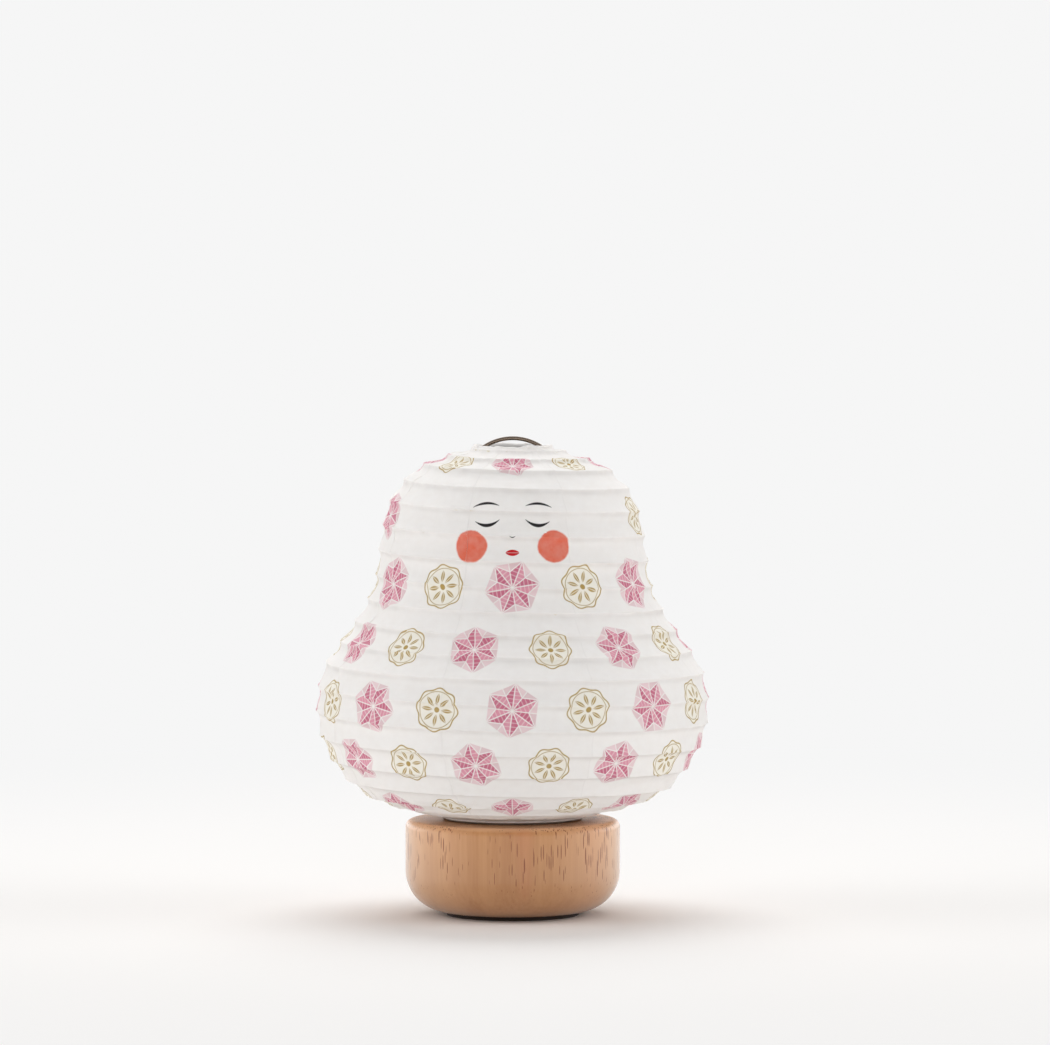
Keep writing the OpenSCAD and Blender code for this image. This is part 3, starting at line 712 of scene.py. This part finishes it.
# The edges along the rims of both skins are sharp, so that the narrow walls don't bend the shading
def sharpen(piece, rim, count):
    mesh = piece.data
    ends = np.zeros(len(mesh.edges) * 2, int)
    mesh.edges.foreach_get("vertices", ends)
    ends = ends.reshape(-1, 2)
    onRim = np.zeros(len(mesh.vertices), bool)
    onRim[rim] = True
    onRim[rim + count] = True
    mesh.attributes.new("sharp_edge", "BOOLEAN", "EDGE").data.foreach_set("value", onRim[ends].all(1))


# Gives the piece a mesh of its own; the share of its height that it would keep with the shade folded
# is worked out but not used
def flatten(piece):
    fold = next(joint for joint in frame["joints"] if joint["name"] == "shade_fold")
    height = shadeValues["mouthHeight"] - shadeValues["cadFoot"]
    keep = (height - fold["range_m"][1]) / height
    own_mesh(piece)


# White paper with long fibres, and the printed and painted motifs. Each motif's shape is a number that
# is above zero inside it, worked out from its own x and y, which are 1 at the motif's radius.
washiValues = {
    "roughness": 0.78,
    "shine": 0.25,
    "glow": 0.4,  # the share of the light that spreads inside the paper, how far, and each colour's part
    "glowDepth": 0.0009,
    "glowParts": (1, 0.93, 0.85),
    "clouds": 260,  # fineness of the clouds and of the fibres, which are drawn out along Z
    "fibres": 520,
    "fibreStretch": (1, 1, 0.22),
    "fibreTurn": (0.5, 0.3, 0),
    "relief": 0.00006,
    "printCover": (0.82, 0.36),  # how well print and blush cover: at least this, and what a cloud adds
    "blushCover": (0.78, 0.3),
}
inkValues = {
    "paper": shown(246, 240, 235),
    "paperPale": shown(253, 249, 245),
    # Colour of the painted shade below the ridges and along the lap edges
    "paintedCreaseShade": shown(120, 112, 104),
    "starDark": shown(199, 108, 133),
    "starPale": shown(222, 148, 166),
    "gold": shown(176, 148, 84),
    "goldTint": shown(246, 238, 208),
    "cheek": shown(226, 104, 78),
    "brush": shown(38, 36, 38),
    "mouth": shown(196, 24, 34),
}


# Lengths in the motifs are in motif radii, and the width of a line is given as half of it
starValues = {
    "gap": 0.02,  # the white lines round a rhombus, down its middle and between two slices
    "spine": 0.018,
    "sideGap": 0.015,
    "rungs": 7,  # in one radius, and where a rung starts, in its spacing
    "rungStart": 0.12,
    "plainInk": 0.62,  # strength of the ink between the rungs, what a rung adds, and that of the field
    "rungInk": 0.38,
    "fieldInk": 0.42,
}
snowRingValues = {
    "petals": 8,
    "wave": 0.045,
    "outer": (0.92, 0.03),  # radius and width of the lines
    "inner": (0.8, 0.016),
    "petal": (0.2, 0.52, 0.34),  # start, length and fullness
    "vein": 0.012,
    "dot": 0.12,
    "disc": 0.93,
    "discInk": 0.35,
}


# Six rhombi in a hexagon, as in a hemp leaf. In the first of six slices a rhombus is |y| < tan 30 x
# min(x, 1 - x), and a side of the hexagon is x cos 30 + |y| sin 30 < cos 30. Each rhombus has rungs and
# one pale half.
def starInk(x, y):
    values = starValues
    x, y = firstSlice(x, y, 6)
    width = y.size()
    tilt = math.pi / 6
    half = x.low(1 - x) * math.tan(tilt)
    rhombus = (half - width - values["gap"]).low(width - values["spine"])
    hexagon = math.cos(tilt) - x * math.cos(tilt) - width * math.sin(tilt)
    side = x * math.sin(tilt) - width * math.cos(tilt) - values["sideGap"]
    field = hexagon.low(width - half - values["gap"]).low(side)
    rung = ((x * values["rungs"]).by("PINGPONG", 0.5) - values["rungStart"]).within(0.2)
    ink = rhombus.within(0.03) * (values["plainInk"] + rung * values["rungInk"])
    return ink + field.within(0.03) * values["fieldInk"], (y * -1).within(0.02)


# A snow ring, whose line waves once for each petal, round petals whose half width is fullness t (1 - t)
def snowRingInk(x, y, r):
    values = snowRingValues
    wave = (y.by("ARCTAN2", x) * values["petals"]).by("COSINE") * values["wave"]
    radius, line = values["outer"]
    ring = line - (r - wave - radius).size()
    radius, line = values["inner"]
    inner = line - (r - radius).size()
    x, y = firstSlice(x, y, values["petals"])
    start, length, fullness = values["petal"]
    t = (x - start) / length
    petal = (t * (1 - t) * fullness - y.size()).low(y.size() - values["vein"])
    ink = ring.high(inner).high(petal).high(values["dot"] - r)
    return ink.within(0.035), (values["disc"] - r).within(0.04)


# A brushed arc y = depth (0.5 - x squared), thickest in the middle
def strokeInk(x, y, depth, thick):
    bow = 1 - x * x
    half = bow.high(0) * thick + 0.02
    off = (y - bow * depth + depth * 0.5).size()
    return (half - off).low(1 - x.size()).within(0.05)


# The paper's own colour and the painted crease shade come first, then the print and the painted face
def paperFinish():
    values, ink = washiValues, inkValues
    paper = Finish("washiPaper", ink["paper"], values["roughness"])
    paper.set("Specular IOR Level", values["shine"])
    paper.set("Subsurface Weight", values["glow"])
    paper.set("Subsurface Radius", values["glowParts"])
    paper.set("Subsurface Scale", values["glowDepth"])
    maps = []
    for name in ("motifPlace", "motifKind"):
        node = paper.tree.nodes.new("ShaderNodeUVMap")
        node.uv_map = name
        maps.append(node.outputs[0])
    x, y = paper.part(maps[0], 0), paper.part(maps[0], 1)
    # The second layer holds the motif's kind and how much painted shade of the crease the paper takes
    kind, wire = paper.part(maps[1], 0), paper.part(maps[1], 1)
    r = reachOf(x, y)

    def only(name):
        return kind.by("COMPARE", motifKinds[name], 0.5)

    def cover(name):
        least, more = values[name]
        return least + cloud * more

    cloud = paper.noise(values["clouds"], detail=3)
    drawnOut = paper.place(values["fibreStretch"], values["fibreTurn"])
    fibre = paper.noise(values["fibres"], drawnOut, 4, 0.6)
    printed = cover("printCover")
    colour = paper.mix(cloud, ink["paper"], ink["paperPale"])
    # Painted shade below each ridge and along each lap's free edge
    colour = paper.mix(wire * paperValues["paintedCreaseShade"], colour, ink["paintedCreaseShade"])
    star, pale = starInk(x, y)
    snowRing, disc = snowRingInk(x, y, r)
    starColour = paper.mix(pale, ink["starDark"], ink["starPale"])
    colour = paper.mix((star * only("star") * printed).low(1), colour, starColour)
    tint = disc * only("snowRing") * snowRingValues["discInk"]
    colour = paper.mix(tint, colour, ink["goldTint"])
    colour = paper.mix((snowRing * only("snowRing") * printed).low(1), colour, ink["gold"])
    blush = (1 - r + (cloud - 0.5) * 0.12).within(0.1) * cover("blushCover")
    colour = paper.mix((blush * only("cheek")).low(1), colour, ink["cheek"])
    stroke = strokeInk(x, y, *faceValues["eyeStroke"]) * only("stroke")
    brow = strokeInk(x, y, *faceValues["browStroke"]) * only("brow")
    colour = paper.mix(stroke + brow, colour, ink["brush"])
    lips = (1 - x * x - y * y * (4.5 + x * x * 3)).within(0.1) * (y.size() - 0.02).within(0.05)
    colour = paper.mix(lips * only("mouth"), colour, ink["mouth"])
    paper.set("Base Color", colour)
    paper.bump(fibre + cloud * 0.5, values["relief"])
    return paper.material


washiPaper = paperFinish()
for gore in range(shadeValues["gores"]):
    makeGore(gore, washiPaper)
print("paper gores made")


# Wires: a circle of points carried along a path and square to it. Its first direction is square to the
# path and to the one given as upright, and its second is square to both of them.
def makeWire(name, path, radius, upright, sides=12, closed=False):
    if closed:
        way = np.roll(path, -1, axis=0) - np.roll(path, 1, axis=0)
    else:
        way = np.gradient(path, axis=0)
    way = way / np.linalg.norm(way, axis=1, keepdims=True)
    side = np.cross(way, upright)
    side = side / np.linalg.norm(side, axis=1, keepdims=True)
    rise = np.cross(side, way)
    turns = np.linspace(0, 2 * math.pi, sides, endpoint=False)[None, :, None]
    rings = path[:, None] + radius * (np.cos(turns) * side[:, None] + np.sin(turns) * rise[:, None])
    count = len(path)
    faces = gridFaces(count, sides, closed=True)
    if closed:
        first = np.arange(sides)
        last = (count - 1) * sides + first
        joined = np.stack([last, first, np.roll(first, -1), np.roll(last, -1)], -1)
        return addMesh(name, rings, np.concatenate([faces, joined]))
    caps = [list(range(sides)), [(count - 1) * sides + j for j in range(sides)][::-1]]
    return addMesh(name, rings, faces, caps)


wireValues = {
    "topRing": (0.0196, 0.2383, 0.0007),  # radius, height, radius of the wire
    "bottomRing": (0.0350, 0.0502, 0.0009),
    "ringPoints": 144,
    "ribWire": 0.0006,
    "ribPoints": 60,  # in a turn
    "ribSides": 8,
    "bowLeg": 0.0265,  # how far a leg stands from the axis
    "bowWire": 0.001,
    "bowFoot": 0.035,
    "bowSides": 20,
    "legPoints": 11,
    "archPoints": 73,
    "wear": 0.09,  # how far the roughness of bare wire wanders both ways
}


# Bare wire whose gloss wanders a little
def wireFinish(name, colour, roughness):
    wire = Finish(name, colour, roughness, 1.0)
    worn = wire.noise(700, detail=3)
    wire.set("Roughness", worn * (2 * wireValues["wear"]) + (roughness - wireValues["wear"]))
    return wire.material


# Both rings are wire round the axis at one height
def makeRings(material):
    turns = np.linspace(0, 2 * math.pi, wireValues["ringPoints"], endpoint=False)
    for name, node, body in (("topRing", "top_ring", "shade"), ("bottomRing", "bottom_ring", "hem")):
        reach, height, wire = wireValues[name]
        path = around(np.stack([reach + 0 * turns, height + 0 * turns], -1), turns)
        ring = makeWire(name, path, wire, (0, 0, 1), closed=True)
        seat(ring, body, material, node)


# The rib runs down just inside the paper, by one ridge in each turn: its share of the paper's length is
# (turns so far + lead) / (turns + 2 leads)
def makeRib(material):
    values = shadeValues
    n = np.arange(values["turns"] * wireValues["ribPoints"] + 1) / wireValues["ribPoints"]
    u = (n + values["lead"]) / (values["turns"] + 2 * values["lead"])
    depth = values["cadWall"] + values["ribGap"] + wireValues["ribWire"]
    path = around(paperAt(u) - outwardAt(u) * depth, values["firstSeam"] + 2 * math.pi * n)
    rib = makeWire("spiralRib", path, wireValues["ribWire"], (0, 0, 1), wireValues["ribSides"])
    seat(rib, "shade", material, "spiral_rib")
    flatten(rib)


# The bow: two straight legs and a half circle between them
def makeBow(material):
    values = wireValues
    leg, wire = values["bowLeg"], values["bowWire"]
    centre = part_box("wire_bow")[1].z - wire - leg
    rise = np.linspace(values["bowFoot"], centre, values["legPoints"], endpoint=False)
    bend = np.linspace(math.pi, 0, values["archPoints"])
    arch = np.stack([leg * np.cos(bend), 0 * bend, centre + leg * np.sin(bend)], -1)
    left = np.stack([-leg + 0 * rise, 0 * rise, rise], -1)
    right = left[::-1] * [-1, 1, 1]
    bow = makeWire("wireBow", np.concatenate([left, arch, right]), wire, (0, 1, 0), values["bowSides"])
    seat(bow, "base", material, "wire_bow")


makeRings(wireFinish("ringWire", shown(178, 176, 172), 0.35))
makeRib(Finish("ribWire", shown(226, 216, 196), 0.6).material)
makeBow(wireFinish("bowWire", shown(196, 174, 156), 0.22))
print("wires made")


# Wood turned with the grain upright. Each pattern has its fineness, and a share under 1 that its heights
# are shortened by, which draws it out along Z.
woodValues = {
    "pale": shown(206, 152, 100),
    "deep": shown(181, 123, 73),
    "red": shown(202, 127, 84),
    # Pale colour painted on as light on the left and right sides and the top
    "paintedLight": shown(246, 202, 162),
    # Colour of the painted shade towards the foot
    "footShadeColour": shown(128, 84, 50),
    "pore": shown(126, 62, 26),
    "streaks": (60, 0.05),
    "fibres": (520, 0.05),
    "contrast": (1.8, 1.2),  # of the streaks and of the fibres
    "rosy": (34, 0.08),
    "rosyFrom": 0.52,  # the wood turns rosy where that pattern is higher, and this fast
    "rosyClimb": 2.2,
    "pores": (1000, 0.085),
    "poreClusters": (40, 0.3),
    "poreReach": (0.25, 1.3),  # how wide a pore is, in its spacing, and how much clusters change it
    "poreless": 0.3,  # the share of places that have no pore
    "poreShare": (0.4, 0.5),  # how dark the palest pore is, and what chance adds
    "plainFoot": (0.012, 0.026),  # heights between which the pores narrow towards the foot
    "footReach": 0.35,  # and the share of their width that is left there
    "roughness": (0.36, 0.16),  # the least, and what the fibres add
    "lacquer": 0.16,  # roughness of the lacquer
    "plainTop": 0.0478,  # above this height there is hardly any lacquer
    "topEdge": 0.0016,
    "lacquerOff": 0.85,  # the share of the lacquer that is missing there
    "paintedSideLight": (0.018, 0.056, 0.62),  # painted light: distances aside over which the sides pale, and by what share
    "paintedTopLight": 0.45,  # and by what share the top pales, as painted light
    "paintedFootShade": (0.004, 0.05, 0.42),  # heights between which painted shade fades out, and its share at the foot
    "relief": 0.00006,  # and the share of it that the fibres rise and the pores sink
    "fibreRelief": 0.35,
    "poreRelief": 0.6,
}


# Streaks and a rosy tint come first, then painted light on the sides and top, painted shade towards
# the foot, and the pores
def woodFinish():
    values = woodValues
    wood = Finish("turnedWood", values["pale"], 0.42)

    def grain(name, *shape):
        fineness, shortened = values[name]
        return wood.noise(fineness, wood.place((1, 1, shortened)), *shape)

    def climb(value, start, end):  # 0 at the start and 1 at the end
        return ((value - start) / (end - start)).low(1).high(0)

    aside = wood.part(wood.coordinates, 0).size()
    height = wood.part(wood.coordinates, 2)
    fibres = grain("fibres", 4, 0.65)
    coarse, fine = values["contrast"]
    streaks = (grain("streaks", 3, 0.55, 0.4) * coarse + fibres * fine - 1).low(1).high(0)
    colour = wood.mix(streaks, values["pale"], values["deep"])
    rosy = (grain("rosy", 2) - values["rosyFrom"]).high(0) * values["rosyClimb"]
    colour = wood.mix(rosy, colour, values["red"])
    topFace = (height - values["plainTop"]).within(values["topEdge"])
    # Painted light: the sides pale with distance aside, and the top face pales
    near, side, sideLightShare = values["paintedSideLight"]
    paintedLight = (climb(aside, near, side) * sideLightShare).high(topFace * values["paintedTopLight"])
    colour = wood.mix(paintedLight, colour, values["paintedLight"])
    # Painted shade: the wood darkens towards the foot
    foot, top, footShadeShare = values["paintedFootShade"]
    colour = wood.mix(climb(height, top, foot) * footShadeShare, colour, values["footShadeColour"])
    fineness, shortened = values["pores"]
    far, chance = wood.cells(fineness, wood.place((1, 1, shortened)))
    width, cluster = values["poreReach"]
    kept = values["footReach"] + climb(height, *values["plainFoot"]) * (1 - values["footReach"])
    reach = (width + (grain("poreClusters", 2) - 0.5) * cluster) * kept
    pore = (reach - far).low(chance - values["poreless"]).within(0.06)
    least, more = values["poreShare"]
    colour = wood.mix(pore * (least + chance * more), colour, values["pore"])
    wood.set("Base Color", colour)
    smooth, rough = values["roughness"]
    wood.set("Roughness", smooth + fibres * rough)
    wood.set("Coat Weight", 1 - topFace * values["lacquerOff"])
    wood.set("Coat Roughness", values["lacquer"])
    wood.bump(fibres * values["fibreRelief"] - pore * values["poreRelief"], values["relief"])
    return wood.material


# Dark felt with short hairs, kept very dark so that it also stands in for the contact shadow
def feltFinish():
    felt = Finish("felt", shown(44, 33, 27), 0.95)
    felt.set("Sheen Weight", 0.2)
    hair = felt.noise(2600, detail=4)
    felt.set("Base Color", felt.mix(hair, shown(32, 24, 19), shown(58, 44, 36)))
    felt.bump(hair, 0.0004)
    return felt.material


# Moulded plastic: a fine pebble and a little unevenness in the gloss
def mouldedFinish(name, colour, roughness):
    plastic = Finish(name, colour, roughness)
    grain = plastic.noise(2400, detail=2)
    slow = plastic.noise(60, detail=2)
    plastic.set("Roughness", roughness - 0.06 + slow * 0.12)
    plastic.bump(grain, 0.00003)
    return plastic.material


# Plated metal with a faint grain
def metalFinish(name, colour, roughness):
    metal = Finish(name, colour, roughness, 1.0)
    brushed = metal.noise(1500, detail=3)
    metal.set("Roughness", roughness - 0.1 + brushed * 0.2)
    metal.bump(brushed, 0.000006)
    return metal.material


# Plain battery sleeve, with a darker band at each end and bare metal past it
cellValues = {
    "sleeve": shown(214, 214, 210),
    "band": shown(58, 84, 120),
    "metal": shown(196, 194, 190),
    "bandStart": 0.0155,  # distances from the middle of the cell
    "bandEnd": 0.0200,
    "sleeveEnd": 0.0212,
    "edge": 0.0001,
}


def cellFinish():
    values = cellValues
    cell = Finish("cellSleeve", values["sleeve"], 0.35)
    along = cell.part(cell.coordinates, 0).size()

    def past(name):
        return (along - values[name]).within(values["edge"])

    scuff = cell.noise(500, detail=3)
    colour = cell.mix(past("bandStart") - past("bandEnd"), values["sleeve"], values["band"])
    cell.set("Base Color", cell.mix(past("sleeveEnd"), colour, values["metal"]))
    cell.set("Metallic", past("sleeveEnd"))
    cell.set("Roughness", 0.28 + scuff * 0.16)
    return cell.material


# The light board carries white squares with a round yellow lens: one in the middle, and six on a ring
# that a track in the board joins
boardValues = {
    "ring": 0.009,  # its radius
    "lens": 0.00135,
    "track": 0.0006,  # half its width
    "white": shown(240, 238, 230),
    "yellow": shown(244, 206, 88),
    "board": shown(240, 241, 238),
    "underTrack": shown(214, 216, 206),
}


def lampFinish():
    values = boardValues
    lamp = Finish("ledLens", values["white"], 0.3)
    x, y = lamp.part(lamp.coordinates, 0), lamp.part(lamp.coordinates, 1)
    sideways, square = firstSlice(x, y, 6)
    near = reachOf(sideways - values["ring"], square).low(reachOf(x, y))
    lens = (values["lens"] - near).within(0.0002)
    lamp.set("Base Color", lamp.mix(lens, values["white"], values["yellow"]))
    return lamp.material


def boardFinish():
    values = boardValues
    board = Finish("lightBoard", values["board"], 0.35)
    x, y = board.part(board.coordinates, 0), board.part(board.coordinates, 1)
    track = (values["track"] - (reachOf(x, y) - values["ring"]).size()).within(0.0001)
    board.set("Base Color", board.mix(track * 0.5, values["board"], values["underTrack"]))
    board.bump(track, 0.00004)
    return board.material


# Frosted plastic that lets some light through
def domeFinish():
    dome = Finish("frostedDome", shown(240, 240, 236), 0.55)
    dome.set("Transmission Weight", 0.35)
    dome.set("IOR", 1.49)
    frost = dome.noise(1800, detail=2)
    dome.set("Roughness", 0.5 + frost * 0.16)
    dome.bump(frost, 0.00002)
    return dome.material


finishes = {
    "wood": woodFinish(),
    "felt": feltFinish(),
    "case_plastic": mouldedFinish("casePlastic", shown(52, 53, 56), 0.5),
    "screw_steel": metalFinish("screwSteel", shown(190, 188, 184), 0.34),
    "cell_steel": cellFinish(),
    "contact_metal": metalFinish("contactMetal", shown(206, 202, 192), 0.3),
    "knob_plastic": mouldedFinish("knobPlastic", shown(30, 30, 32), 0.42),
    "white_plastic": mouldedFinish("whitePlastic", shown(236, 235, 230), 0.4),
    "board_white": boardFinish(),
    "led_lens": lampFinish(),
    "frosted_plastic": domeFinish(),
    "lead_red": mouldedFinish("redLead", shown(178, 34, 32), 0.38),
    "lead_black": mouldedFinish("blackLead", shown(28, 28, 30), 0.38),
}


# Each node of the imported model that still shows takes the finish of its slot
def dressNodes():
    slots = {row["node"]: row["material_slot"] for row in frame["record"]["subparts"]}
    for name, piece in frame["nodes"].items():
        finish = finishes.get(slots[name])
        if finish and not piece.hide_render:
            piece.data.materials.clear()
            piece.data.materials.append(finish)


dressNodes()
print("base and inner pieces dressed")
